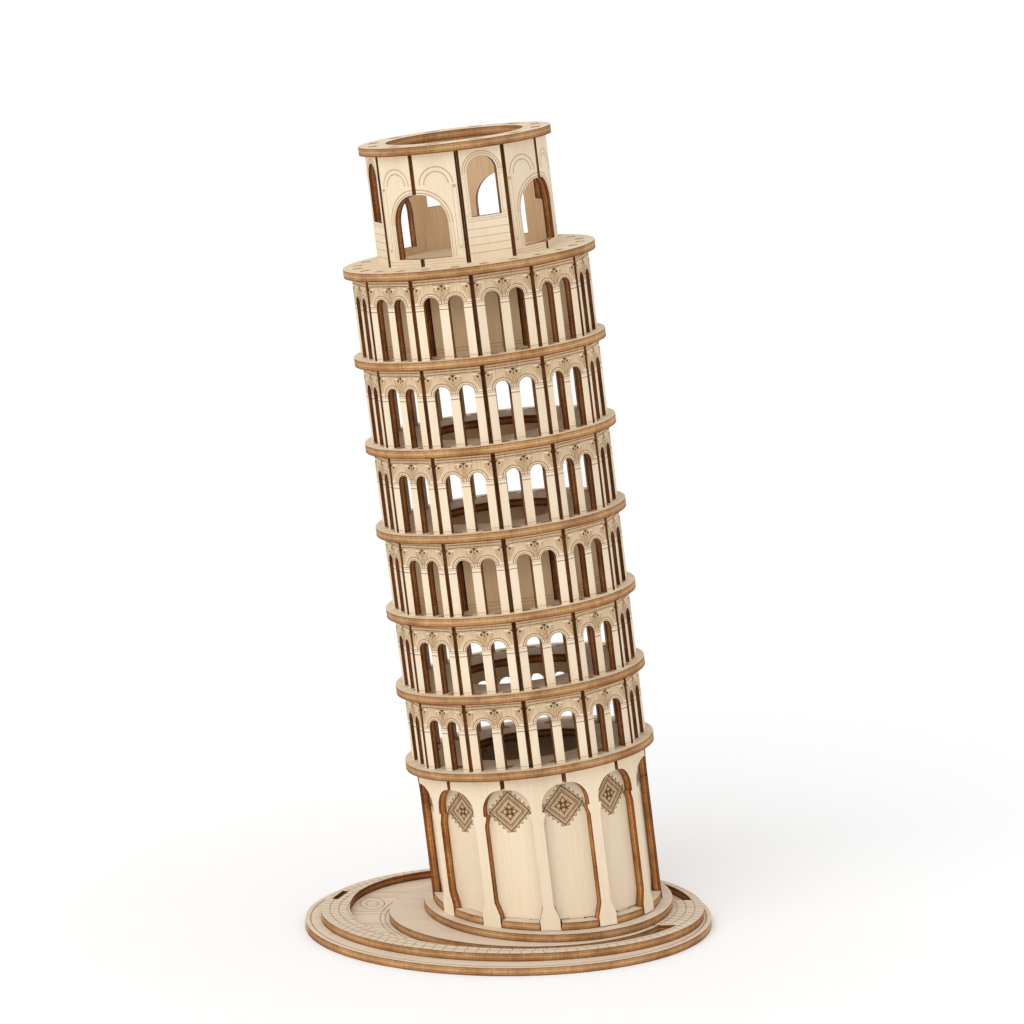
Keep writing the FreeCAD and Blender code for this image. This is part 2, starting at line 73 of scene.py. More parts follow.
# Half widths of what passes through the slots: the pilasters' feet and head tabs, the walls' tabs,
# the drums' feet and the belfry's head tabs.
PILASTER_FOOT = 3.6
PILASTER_TAB = 2.4
WALL_TAB = 2.7
DRUM_TAB = 3.5
BELFRY_HEAD_TAB = 2.5
# A storey panel's two head tabs, and a belfry panel's two foot tabs, lie between these distances.
HEAD_TABS = (4, 7)
FOOT_TABS = (1.6, 4.6)
ARCH_WIDTH = 5.75
ARCH_DROP = 6.9
CIRCLE_STEPS = 192
ARC_STEPS = 20

# What a spot of a piece is.  EDGE is its cut side, END a cut side that faces up or down the
# piece, BORE the side of an opening and BACK its rear; the other kinds are engraved.
FACE, EDGE, END, BORE, BACK, LINE, DARK, TONE, SHADE = range(9)
DEPTHS = {FACE: 0.0, LINE: 0.14, DARK: 0.25, TONE: 0.09, SHADE: 0.05}
# Where two kinds overlap, the later one in this list wins.
ORDER = [SHADE, TONE, FACE, LINE, DARK]


# ---------------------------------------------------------------- placing

def middle(node):
    """The centre of a CAD node's box, in millimetres."""
    low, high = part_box(node)
    return (low + high) / (2 * MM)


def thickness_of(node):
    """The height of a node's box, in millimetres."""
    low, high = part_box(node)
    return (high.z - low.z) / MM


SHEET = thickness_of("base_plate")
AXIS = (middle("belfry_floor") - middle("ring_1")).normalized()
FOOT = middle("ring_1") - AXIS * (middle("ring_1").z / AXIS.z)
LEAN = UP.rotation_difference(AXIS).to_matrix().to_4x4()


def top_of(node):
    """The height of a ring's top along the tower axis."""
    return (middle(node) - FOOT).length + SHEET / 2


def tower(height, azimuth=0.0):
    """The placement on the tower axis at a height, turned from the front towards +X."""
    turn = Matrix.Rotation(math.radians(azimuth), 4, "Z")
    return Matrix.Translation(FOOT) @ LEAN @ Matrix.Translation((0, 0, height)) @ turn


def standing(face):
    """Stands a cut piece upright, its front at a distance before the axis."""
    return Matrix(((1, 0, 0, 0), (0, 0, -1, SHEET - face), (0, 1, 0, 0), (0, 0, 0, 1)))


def axis_at(height):
    """The point of the tower axis at a height above the table."""
    return FOOT + AXIS * (height / AXIS.z)


# ---------------------------------------------------------------- drawing

def traced(path):
    """A polygon from steps (x, y), or (x, y, radius, turn) for an arc bending left for turn 1."""
    points = []
    for index, step in enumerate(path):
        end = Vector(step[:2])
        if len(step) == 4:
            start = Vector(path[index - 1][:2])
            radius, turn = step[2:]
            chord = end - start
            rise = math.sqrt(max(radius ** 2 - chord.length_squared / 4, 0))
            side = Vector((-chord.y, chord.x)).normalized() * turn
            centre = (start + end) / 2 + side * rise
            first = math.atan2(start.y - centre.y, start.x - centre.x)
            sweep = 2 * math.asin(min(chord.length / (2 * radius), 1)) * turn
            for part in range(1, ARC_STEPS):
                angle = first + sweep * part / ARC_STEPS
                points.append(centre + Vector((math.cos(angle), math.sin(angle))) * radius)
        points.append(end)
    return points


def flipped(path):
    """The mirror image of a path, run backwards."""
    image = []
    for index in range(len(path) - 1, -1, -1):
        x, y = path[index][:2]
        arc = path[index + 1][2:] if index + 1 < len(path) else ()
        image.append((-x, y, *arc))
    return image


def mirrored(right_half):
    """A polygon from the right half of its outline."""
    return traced(right_half + flipped(right_half))


def reflected(polygon):
    """A polygon's mirror image across the upright axis."""
    return [Vector((-point[0], point[1])) for point in polygon]


def both(polygons):
    """The polygons with their mirror images."""
    return polygons + [reflected(polygon) for polygon in polygons]


def rectangle(left, right, low, high):
    return [(left, low), (right, low), (right, high), (left, high)]


def ellipse(centre, half_length, half_depth, steps=CIRCLE_STEPS):
    points = []
    for index in range(steps):
        angle = 2 * math.pi * index / steps
        points.append(Vector((centre[0] + half_length * math.cos(angle),
                              centre[1] + half_depth * math.sin(angle))))
    return points


def circle(centre, radius, steps=CIRCLE_STEPS):
    return ellipse(centre, radius, radius, steps)


def arc(centre, radius, start, end, steps=ARC_STEPS):
    """Points of an arc between two angles in degrees."""
    points = []
    for index in range(steps + 1):
        angle = math.radians(start + (end - start) * index / steps)
        points.append(Vector((centre[0] + radius * math.cos(angle),
                              centre[1] + radius * math.sin(angle))))
    return points


def stroke(points, width):
    """A strip of a given width along an open line."""
    points = [Vector(point) for point in points]
    left, right = [], []
    for index, point in enumerate(points):
        before = points[max(index - 1, 0)]
        after = points[min(index + 1, len(points) - 1)]
        along = (after - before).normalized()
        side = Vector((-along.y, along.x)) * width / 2
        left.append(point + side)
        right.append(point - side)
    return right + left[::-1]


def loop(points, width):
    """Two strips that together follow a closed line."""
    half = len(points) // 2
    return [stroke(points[:half + 1], width), stroke(points[half:] + points[:1], width)]


def level_line(left, right, height, width):
    return rectangle(left, right, height - width / 2, height + width / 2)


def turned(polygon, angle, shift=(0, 0)):
    """A polygon turned about the origin and moved."""
    turn = Matrix.Rotation(math.radians(angle), 2)
    return [turn @ Vector(point) + Vector(shift) for point in polygon]


# ---------------------------------------------------------------- cutting

def counterclockwise(polygon):
    """The polygon, turned round if its points run clockwise."""
    area = 0
    for index, point in enumerate(polygon):
        area += polygon[index - 1][0] * point[1] - point[0] * polygon[index - 1][1]
    return polygon if area > 0 else polygon[::-1]


def triangulated(outlines, holes, engraved):
    """The triangles of a cut piece: (corner points, [(three corners, kind)], hole edges)."""
    points, loops, kinds = [], [], []
    groups = [("solid", outlines), ("hole", holes)] + list(engraved.items())
    for kind, polygons in groups:
        for polygon in polygons:
            start = len(points)
            points += [Vector(point) for point in counterclockwise(polygon)]
            loops.append(list(range(start, len(points))))
            kinds.append(kind)
    corners, _, faces, _, _, sources = delaunay_2d_cdt(points, [], loops, 0, 1e-4, True)
    kept, bored = [], set()
    for face, source in zip(faces, sources):
        here = {kinds[index] for index in source}
        if "hole" in here:
            bored.update(zip(face, face[1:] + face[:1]))
        if "solid" not in here or "hole" in here:
            continue
        kind = max((ORDER.index(k) for k in here if k in DEPTHS), default=None)
        kept.append((list(face), FACE if kind is None else ORDER[kind]))
    return corners, kept, bored


def raised(corners, triangles, bored):
    """Raises triangles to a sheet: (points, faces, the kind of each face)."""
    heights = {}
    beside = {}
    for index, (face, kind) in enumerate(triangles):
        top = SHEET - DEPTHS[kind]
        for place, corner in enumerate(face):
            heights.setdefault(corner, {0.0}).add(top)
            beside[(corner, face[(place + 1) % len(face)])] = index
    points, numbers = [], {}
    for corner in sorted(heights):
        for height in sorted(heights[corner]):
            numbers[(corner, height)] = len(points)
            points.append((corners[corner].x, corners[corner].y, height))
    faces, kinds = [], []
    for face, kind in triangles:
        top = SHEET - DEPTHS[kind]
        faces.append([numbers[(corner, top)] for corner in face])
        kinds.append(kind)
        faces.append([numbers[(corner, 0.0)] for corner in reversed(face)])
        kinds.append(BACK)
        for place, start in enumerate(face):
            end = face[(place + 1) % len(face)]
            other = beside.get((end, start))
            low = 0.0 if other is None else SHEET - DEPTHS[triangles[other][1]]
            if low >= top:
                continue
            rising = [numbers[(end, h)] for h in sorted(heights[end]) if low <= h <= top]
            falling = [numbers[(start, h)] for h in sorted(heights[start]) if low <= h <= top]
            faces.append(rising + falling[::-1])
            along = corners[end] - corners[start]
            if other is not None:
                kinds.append(triangles[other][1])
            elif (end, start) in bored:
                kinds.append(BORE)
            else:
                kinds.append(END if abs(along.y) < 0.05 * abs(along.x) else EDGE)
    return points, faces, kinds


class Cut:
    """The shape of a cut piece, worked out once and used for all its copies."""

    def __init__(self, outlines, holes=(), engraved=None):
        cut = triangulated(outlines, holes, engraved or {})
        self.points, self.faces, self.kinds = raised(*cut)


def place_piece(name, shape, placement, looks, nodes, grain=0.0):
    """Makes one piece from a shape, standing for CAD nodes.

    The attribute "place" keeps each point's place on the sheet it was cut
    from, along and across its grain, so that every piece has its own grain.
    """
    mesh = bpy.data.meshes.new(name)
    moved = [(placement @ Vector(point)) * MM for point in shape.points]
    mesh.from_pydata(moved, [], shape.faces)
    for look in looks:
        mesh.materials.append(look)
    mesh.polygons.foreach_set("material_index", shape.kinds)
    shift = Vector((chance.uniform(0, 900), chance.uniform(0, 900), 0))
    turn = Matrix.Rotation(math.radians(grain), 3, "Z")
    shade = chance.uniform(-1, 1)
    place = mesh.attributes.new("place", "FLOAT_VECTOR", "POINT")
    for index, point in enumerate(shape.points):
        place.data[index].vector = turn @ Vector(point) + shift
    tone = mesh.attributes.new("tone", "FLOAT", "POINT")
    tone.data.foreach_set("value", [shade] * len(shape.points))
    mesh.shade_smooth()
    mesh.set_sharp_from_angle(angle=math.radians(30))
    piece = bpy.data.objects.new(name, mesh)
    bpy.context.scene.collection.objects.link(piece)
    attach(piece, "root")
    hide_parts(*nodes)
    return piece


# ---------------------------------------------------------------- materials

def srgb(red, green, blue):
    """A linear colour from eight-bit screen values."""
    linear = []
    for value in (red, green, blue):
        value /= 255
        linear.append(value / 12.92 if value <= 0.04045 else ((value + 0.055) / 1.055) ** 2.4)
    return (*linear, 1)


class Look:
    """A material with short names for the nodes that the plywood needs."""

    def __init__(self, name):
        self.material = bpy.data.materials.new(name)
        self.material.use_nodes = True
        self.tree = self.material.node_tree
        self.shader = self.tree.nodes["Principled BSDF"]

    def add(self, kind, **inputs):
        node = self.tree.nodes.new(kind)
        for name, value in inputs.items():
            self.feed(node.inputs[name.replace("_", " ")], value)
        return node

    def feed(self, socket, value):
        if isinstance(value, bpy.types.NodeSocket):
            self.tree.links.new(value, socket)
        else:
            socket.default_value = value

    def attribute(self, name, output):
        node = self.tree.nodes.new("ShaderNodeAttribute")
        node.attribute_name = name
        return node.outputs[output]

    def noise(self, stretch, detail=3.0, roughness=0.5):
        """Noise on the sheet, its frequencies across, along and through it per millimetre."""
        scaled = self.add("ShaderNodeMapping", Vector=self.attribute("place", "Vector"),
                          Scale=stretch)
        return self.add("ShaderNodeTexNoise", Vector=scaled.outputs[0], Scale=1.0,
                        Detail=detail, Roughness=roughness).outputs["Fac"]

    def ramp(self, factor, stops):
        node = self.add("ShaderNodeValToRGB", Fac=factor)
        elements = node.color_ramp.elements
        while len(elements) < len(stops):
            elements.new(1)
        for element, (position, colour) in zip(elements, stops):
            element.position = position
            element.color = colour if isinstance(colour, tuple) else (colour,) * 3 + (1,)
        return node.outputs["Color"]

    def mix(self, factor, first, second, blend="MIX"):
        node = self.tree.nodes.new("ShaderNodeMix")
        node.data_type = "RGBA"
        node.blend_type = blend
        self.feed(node.inputs["Factor"], factor)
        self.feed(node.inputs["A"], first)
        self.feed(node.inputs["B"], second)
        return node.outputs["Result"]

    def math(self, operation, first, second=0.0, third=0.0):
        """A maths node's result; operations with one or two values ignore the rest."""
        node = self.tree.nodes.new("ShaderNodeMath")
        node.operation = operation
        for socket, value in zip(node.inputs, (first, second, third)):
            self.feed(socket, value)
        return node.outputs[0]

    def toned(self, colour, amount):
        """The colour made a little lighter or darker from piece to piece."""
        level = self.math("MULTIPLY_ADD", self.attribute("tone", "Fac"), amount, 1 - amount)
        return self.mix(1.0, colour, level, "MULTIPLY")

    def bumped(self, height, strength, distance):
        node = self.add("ShaderNodeBump", Height=height, Strength=strength,
                        Distance=distance * MM)
        self.feed(self.shader.inputs["Normal"], node.outputs[0])

    def finish(self, colour, roughness):
        self.feed(self.shader.inputs["Base Color"], colour)
        self.feed(self.shader.inputs["Roughness"], roughness)
        self.shader.inputs["Specular IOR Level"].default_value = 0.12
        return self.material


def veneer(name, pale, dark, variation=0.05):
    """Sanded birch: silky fibres, broader figure, and short brown pores."""
    look = Look(name)
    fibre = look.noise((1.7, 0.06, 0.3), 4.0, 0.6)
    figure = look.noise((0.10, 0.012, 0.05), 2.0)
    pores = look.noise((5.0, 0.35, 1.0), 1.0)
    grain = look.math("ADD", look.math("MULTIPLY", fibre, 0.6),
                      look.math("MULTIPLY", figure, 0.4))
    colour = look.ramp(grain, [(0.36, dark), (0.56, pale)])
    flecks = look.ramp(pores, [(0.66, 1.0), (0.74, 0.86)])
    colour = look.mix(1.0, colour, flecks, "MULTIPLY")
    colour = look.toned(colour, variation)
    rough = look.ramp(fibre, [(0.3, 0.72), (0.7, 0.56)])
    look.bumped(look.math("SUBTRACT", fibre, look.math("MULTIPLY", pores, 0.5)), 0.35, 0.05)
    return look.finish(colour, rough)


def burnt_edge(name, stops, char, streaked):
    """A laser-cut edge: veneers parted by glue lines, streaked and browned in patches.

    The stops are the colours through the sheet, from its back to its face.
    """
    look = Look(name)
    parted = look.add("ShaderNodeSeparateXYZ", Vector=look.attribute("place", "Vector"))
    wander = look.math("MULTIPLY", look.noise((0.3, 0.3, 0.0), 2.0), 0.16)
    through = look.math("ADD", look.math("DIVIDE", parted.outputs["Z"], SHEET), wander)
    layers = look.ramp(look.math("SUBTRACT", through, 0.08), stops)
    streaks = look.ramp(look.noise((1.6, 1.6, 0.15), 4.0, 0.7), [(0.35, char), (0.62, 1.0)])
    patches = look.ramp(look.noise((0.07, 0.07, 0.1), 3.0, 0.6), [(0.36, char), (0.58, 1.0)])
    colour = look.mix(streaked, layers, streaks, "MULTIPLY")
    colour = look.mix(0.8, colour, patches, "MULTIPLY")
    colour = look.toned(colour, 0.06)
    look.bumped(look.noise((2.5, 2.5, 0.3), 3.0), 0.5, 0.08)
    return look.finish(colour, 0.7)


def engraving(name, pale, dark, spacing):
    """An engraved area: browned wood with the fine parallel passes of the laser."""
    look = Look(name)
    parted = look.add("ShaderNodeSeparateXYZ", Vector=look.attribute("place", "Vector"))
    passes = look.math("SINE", look.math("MULTIPLY", parted.outputs["Y"],
                                         2 * math.pi / spacing))
    grain = look.noise((1.5, 0.15, 0.3), 4.0, 0.6)
    mixed = look.math("ADD", grain, look.math("MULTIPLY", passes, 0.06))
    colour = look.toned(look.ramp(mixed, [(0.35, dark), (0.62, pale)]), 0.05)
    look.bumped(mixed, 0.5, 0.06)
    return look.finish(colour, 0.78)


def burnt_and_shaded_edge(name):
    """The edge of the small panels and of openings: browned by the laser, and darker still as painted
    shade of the narrow gaps and the tower's inside.
    """
    return burnt_edge(name, [
        (0.00, srgb(78, 42, 22)), (0.16, srgb(128, 76, 42)), (0.30, srgb(184, 126, 76)),
        (0.36, srgb(124, 74, 40)), (0.45, srgb(196, 138, 86)), (0.62, srgb(172, 116, 68)),
        (0.68, srgb(112, 66, 36)), (0.82, srgb(150, 94, 54)), (1.00, srgb(92, 52, 28))],
        (0.50, 0.42, 0.36, 1), 0.6)


def edge_with_painted_highlight(name):
    """The edge of the pilasters: a burnt edge made lighter as a painted highlight, where the light
    catches it.
    """
    return burnt_edge(name, [
        (0.00, srgb(104, 58, 28)), (0.14, srgb(168, 106, 56)), (0.30, srgb(214, 152, 88)),
        (0.36, srgb(140, 84, 42)), (0.45, srgb(222, 164, 100)), (0.64, srgb(200, 138, 78)),
        (0.70, srgb(128, 74, 36)), (0.84, srgb(176, 114, 62)), (1.00, srgb(112, 64, 32))],
        (0.52, 0.42, 0.34, 1), 0.6)


def caramel_edge(name):
    """The edge of the big plates and rings, golden brown with darker rims."""
    return burnt_edge(name, [
        (0.00, srgb(96, 58, 30)), (0.10, srgb(160, 110, 66)), (0.30, srgb(200, 154, 104)),
        (0.35, srgb(158, 110, 68)), (0.42, srgb(212, 168, 120)), (0.62, srgb(216, 176, 128)),
        (0.68, srgb(160, 112, 70)), (0.74, srgb(206, 162, 112)), (0.90, srgb(180, 132, 86)),
        (1.00, srgb(112, 72, 40))], (0.62, 0.52, 0.42, 1), 0.6)


def looks_for(kind, pale, dark, edge, line_pale, line_dark):
    """The materials of a piece, in the order of the kinds of face."""
    return [
        veneer(f"{kind}_veneer", pale, dark),
        edge(f"{kind}_cut_edge"),
        caramel_edge(f"{kind}_tab_end"),
        # An opening's side takes the dark edge: its darkness is painted shade of the tower's inside.
        burnt_and_shaded_edge(f"{kind}_bore"),
        # The rear veneer is browner than the face: painted warm shade, as the rears are mostly seen
        # inside the tower.
        veneer(f"{kind}_back", srgb(230, 203, 166), srgb(212, 182, 143)),
        engraving(f"{kind}_engraved_line", line_pale, line_dark, 0.12),
        engraving(f"{kind}_engraved_dark", srgb(122, 82, 50), srgb(88, 54, 30), 0.12),
        engraving(f"{kind}_engraved_tone", srgb(210, 182, 146), srgb(188, 158, 120), 0.25),
        # The light engraving of the storey heads: real engraving, its depth of colour partly painted
        # shade under the rings.
        engraving(f"{kind}_engraved_shade", srgb(226, 202, 168), srgb(212, 184, 148), 0.25),
    ]


# The panels' edges take the dark edge: burnt colour with painted shade of the gaps between panels.
PANEL_LOOKS = looks_for("panel", srgb(240, 222, 194), srgb(234, 213, 183), burnt_and_shaded_edge,
                        srgb(180, 144, 104), srgb(152, 114, 76))
# The pilasters' edges are lighter than the panels': a painted highlight.
PILASTER_LOOKS = looks_for("pilaster", srgb(240, 222, 194), srgb(234, 213, 183), edge_with_painted_highlight,
                           srgb(180, 144, 104), srgb(152, 114, 76))
# The drums stand in shade inside the tower; their veneer is warmer and more yellow than the panels'
# as painted warm shade.
DRUM_LOOKS_IN_PAINTED_SHADE = looks_for("drum", srgb(240, 213, 172), srgb(228, 199, 157), burnt_and_shaded_edge,
                       srgb(180, 144, 104), srgb(152, 114, 76))
RING_LOOKS = looks_for("ring", srgb(234, 213, 184), srgb(222, 198, 166), caramel_edge,
                       srgb(190, 164, 134), srgb(168, 140, 110))
# The crown's bore is in the light and keeps the caramel edge; the rings below keep the dark edge in
# their bores as painted shade.
CROWN_LOOKS = RING_LOOKS[:BORE] + [RING_LOOKS[EDGE]] + RING_LOOKS[BACK:]
BASE_LOOKS = looks_for("base", srgb(224, 206, 184), srgb(212, 192, 167), caramel_edge,
                       srgb(186, 160, 130), srgb(164, 136, 106))


# ---------------------------------------------------------------- the storeys

def half_width(face, sides):
    """Half the width of one panel of a many-sided wall, measured at its inner face."""
    return (face - SHEET) * math.tan(math.pi / sides) - PANEL_GAP / 2


def capital_lines(left, right, springing):
    """The fine lines of a column's capital under an arch."""
    lines = []
    for drop, width in ((-0.1, 0.26), (0.55, 0.16), (1.8, 0.3)):
        lines.append(level_line(left, right, springing - drop, width))
    return lines


def leaf(tip, root, swell):
    """An almond-shaped leaf between two points."""
    tip, root = Vector(tip), Vector(root)
    along = root - tip
    side = Vector((-along.y, along.x)).normalized() * swell
    upper, lower = [], []
    for index in range(1, 8):
        part = index / 8
        spread = side * math.sin(math.pi * part)
        upper.append(tip + along * part + spread)
        lower.append(tip + along * part - spread * 0.6)
    return [tip, *upper, root, *lower[::-1]]


def spandrel_ornament(top, springing):
    """Over a column: the wedge and dots, the leaves beside them, and foliage below."""
    dark = [[(-0.85, top - 2.85), (0.85, top - 2.85), (0.0, top - 3.95)]]
    dark += both([circle((1.15, top - 4.1), 0.45, 12)])
    dark.append(stroke([(0.0, top - 4.2), (0.0, top - 5.0)], 0.3))
    lines = both([stroke([(0.1, top - 4.9), (0.75, top - 5.7), (0.1, top - 6.5)], 0.2)])
    lines += both([stroke([(0.2, top - 6.4), (0.8, top - 7.2), (0.2, top - 8.0)], 0.2)])
    lines += both([stroke([(1.0, top - 7.6), (1.3, top - 8.5)], 0.2)])
    lines.append(stroke([(0.0, top - 7.9), (0.0, springing + 0.6)], 0.2))
    pale = both([leaf((3.6, top - 3.3), (0.9, top - 3.25), 0.5),
                 leaf((2.6, top - 4.6), (1.5, top - 3.8), 0.25)])
    return dark, lines, pale


def corner_ornament(half, top):
    """Half of that ornament at a panel's side edge."""
    dark = [[(half, top - 2.85), (half, top - 3.95), (half - 0.8, top - 2.85)]]
    dark.append(circle((half - 1.15, top - 4.1), 0.42, 12))
    lines = [stroke([(half - 0.2, top - 4.6), (half - 0.8, top - 5.5),
                     (half - 0.2, top - 6.5)], 0.2)]
    pale = [leaf((half - 3.4, top - 3.3), (half - 0.85, top - 3.25), 0.5)]
    return both(dark), both(lines), both(pale)


def storey_shape(top):
    """A comb-shaped panel: an engraved head on two side columns and a middle one."""
    half = half_width(PANEL_FACE, PANELS)
    radius = ARCH_WIDTH / 2
    crown = top - ARCH_DROP
    springing = crown - radius
    far = COLUMN_HALF + ARCH_WIDTH
    tab_near, tab_far = HEAD_TABS
    outline = mirrored([
        (COLUMN_HALF, -SHEET),
        (COLUMN_HALF, springing),
        (COLUMN_HALF + radius, crown, radius, -1),
        (far, springing, radius, -1),
        (far, 0),
        (half, 0),
        (half, top),
        (tab_far, top),
        (tab_far, top + SHEET),
        (tab_near, top + SHEET),
        (tab_near, top),
    ])
    lines = []
    for drop, width in ((0.5, 0.3), (1.3, 0.42), (2.3, 0.34)):
        lines.append(level_line(-half, half, top - drop, width))
    for spread, width in ((0.45, 0.24), (1.15, 0.36)):
        ring = arc((COLUMN_HALF + radius, springing), radius + spread, 2, 178)
        lines += both([stroke(ring, width)])
    lines += capital_lines(-COLUMN_HALF, COLUMN_HALF, springing)
    lines += both(capital_lines(far, half, springing))
    lines.append(level_line(-COLUMN_HALF, COLUMN_HALF, 0.9, 0.14))
    lines += both([level_line(far, half, 0.9, 0.14)])
    middle_dark, middle_lines, middle_pale = spandrel_ornament(top, springing)
    corner_dark, corner_lines, corner_pale = corner_ornament(half, top)
    ground = [(-1.0, springing + 1.2), (1.0, springing + 1.2), (3.2, top - 5.0), (3.2, top - 2.5),
              (-3.2, top - 2.5), (-3.2, top - 5.0)]
    corner_ground = [(half, springing + 1.2), (half, top - 2.5), (half - 2.8, top - 2.5),
                     (half - 2.8, top - 5.0), (half - 0.6, springing + 1.2)]
    archivolts = both([stroke(arc((COLUMN_HALF + radius, springing), radius + 0.8, 0, 180), 0.5)])
    capitals = [rectangle(-COLUMN_HALF, COLUMN_HALF, springing + 0.1, springing + 0.9)]
    capitals += both([rectangle(far, half, springing + 0.1, springing + 0.9)])
    # The head from the springing up is lightly engraved; its darker colour is partly painted shade
    # under the ring above.
    return Cut([outline], engraved={
        SHADE: [rectangle(-half, half, springing, top - 0.3)],
        TONE: [ground] + both([corner_ground]),
        FACE: middle_pale + corner_pale + archivolts + capitals,
        LINE: lines + middle_lines + corner_lines,
        DARK: middle_dark + corner_dark,
    })


def drum_shape(top):
    """A plain inner panel with one foot tab, two courses marked near its foot."""
    half = half_width(DRUM_FACE, DRUM_SIDES)
    outline = mirrored([(DRUM_TAB, -SHEET), (DRUM_TAB, 0), (half, 0), (half, top)])
    lines = [level_line(-half, half, height, 0.14) for height in (1.2, 2.4)]
    return Cut([outline], engraved={LINE: lines})


def place_round(shape, names, face, height, azimuth, count, looks, node):
    """Places copies of a standing piece in a circle; together they stand for one node."""
    for index in range(count):
        placement = tower(height, azimuth + 360 / count * index) @ standing(face)
        place_piece(f"{names}_{index + 1:02d}_sheet", shape, placement, looks,
                    [node])


def storeys():
    """The arcaded storeys from the second to the seventh, with the drums inside two of them."""
    for storey in range(2, 8):
        floor = top_of(f"ring_{storey - 1}")
        ceiling = "belfry_floor" if storey == 7 else f"ring_{storey}"
        top = top_of(ceiling) - SHEET - floor
        place_round(storey_shape(top), f"storey_{storey}_panel", PANEL_FACE, floor, STEP / 2,
                    PANELS, PANEL_LOOKS, f"storey_{storey}_panels")
        if storey in (4, 7):
            place_round(drum_shape(top), f"storey_{storey}_drum", DRUM_FACE, floor, 0,
                        DRUM_SIDES, DRUM_LOOKS_IN_PAINTED_SHADE, f"storey_{storey}_drum")


# ---------------------------------------------------------------- the belfry

def belfry_edge(half, top, right_side):
    """The outline of a belfry panel from its foot tabs round to its head tab."""
    near, far = FOOT_TABS
    head = BELFRY_HEAD_TAB
    return [
        (near, 0), (near, -SHEET), (far, -SHEET), (far, 0), *right_side,
        (head, top), (head, top + SHEET), (-head, top + SHEET), (-head, top),
        (-half, top), (-half, 0), (-far, 0), (-far, -SHEET), (-near, -SHEET), (-near, 0),
    ]


def masonry(left, right, low, high):
    """The level joints between courses of stone."""
    courses, width = 5, 0.2
    lines = []
    for course in range(1, courses):
        height = low + (high - low) * course / courses
        lines.append(level_line(left, right, height, width))
    return lines


def slim_column(x, low, high):
    """An engraved half column, with a capital and a base."""
    lines = [rectangle(x - 0.9, x - 0.76, low, high), rectangle(x + 0.62, x + 0.76, low, high)]
    for height in (high, high + 0.8, low - 0.2, low - 1.0):
        lines.append(level_line(x - 1.25, x + 1.1, height, 0.16))
    lines.append([(x - 1.0, high + 0.75), (x - 0.35, high + 0.1), (x + 0.2, high + 0.1),
                  (x + 0.85, high + 0.75)])
    lines.append(circle((x, low - 0.6), 0.26, 10))
    return lines


def window_shape(top):
    """A belfry panel with an arched window over masonry."""
    half = half_width(BELFRY_FACE, PANELS)
    reach = 5.6
    crown = top - 2.8
    sill = crown - 21.6
    springing = crown - reach
    outline = traced(belfry_edge(half, top, [(half, 0), (half, top)]))
    window = traced([(reach, sill), (reach, springing), (0, crown, reach, 1),
                     (-reach, springing, reach, 1), (-reach, sill)])
    lines = [stroke(arc((0, springing), reach + spread, 0, 180, 28), 0.4)
             for spread in (0.65, 1.5)]
    for drop in (0.7, 1.5):
        lines.append(level_line(-half + 0.5, half - 0.5, sill - drop, 0.18))
    for height, width in ((springing, 0.2), (springing - 0.7, 0.14), (springing - 1.7, 0.16),
                          (sill + 1.1, 0.14), (sill + 0.4, 0.16)):
        lines += both([level_line(reach + 0.2, half - 0.2, height, width)])
    lines += both([rectangle(reach + 0.65, reach + 0.77, sill + 1.1, springing - 1.7)])
    lines += masonry(-half, half, 0.3, sill - 1.5)
    return Cut([outline], [window], {TONE: lines})


def portal_shape(top, side):
    """A belfry panel with half a portal cut into one side, under a blind arch."""
    half = half_width(BELFRY_FACE, PANELS)
    reach, sill = 10.5, 2.7
    crown = sill + 23.2
    springing = crown - reach
    inner = half - reach
    outline = traced(belfry_edge(half, top, [
        (half, 0), (half, sill), (inner, sill), (inner, springing),
        (half, crown, reach, -1), (half, top)]))
    blind = (0.0, top - 11.2)
    lines = [stroke(arc(blind, radius, 0, 180, 28), width)
             for radius, width in ((4.5, 0.42), (6.2, 0.42))]
    for spread in (0.6, 1.7):
        lines.append(stroke(arc((half, springing), reach + spread, 90, 180, 24), 0.4))
        lines.append(rectangle(inner - spread - 0.09, inner - spread + 0.09, sill, springing))
    lines.append(level_line(inner - 1.7, inner, springing, 0.16))
    lines += slim_column(-half + 1.3, 6.6, blind[1] - 1.6)
    for height in (0.9, 1.9):
        lines.append(level_line(-half, half, height, 0.14))
    if side < 0:
        outline = reflected(outline)
        lines = [reflected(line) for line in lines]
    return Cut([outline], engraved={TONE: lines})


def belfry():
    """Twelve belfry panels: four windows between four portals that span two panels each."""
    floor = top_of("belfry_floor")
    top = top_of("crown_ring") - SHEET - floor
    kinds = [("belfry_windows", window_shape(top), STEP / 2),
             ("belfry_portals_left", portal_shape(top, 1), 3 * STEP / 2),
             ("belfry_portals_right", portal_shape(top, -1), 5 * STEP / 2)]
    for node, shape, azimuth in kinds:
        place_round(shape, node, BELFRY_FACE, floor, azimuth, 4, PANEL_LOOKS, node)


# ---------------------------------------------------------------- the rings

def pair_of(span):
    """A span and its mirror image."""
    near, far = span
    return [(near, far), (-far, -near)]


def slots(face, azimuth, count, spans):
    """The slots that a circle of panels' tabs pass through."""
    found = []
    for index in range(count):
        for left, right in spans:
            found.append(turned(
                rectangle(left - SLOT_PLAY, right + SLOT_PLAY, -face - SLOT_PLAY,
                          -face + SHEET + SLOT_PLAY),
                azimuth + 360 / count * index))
    return found


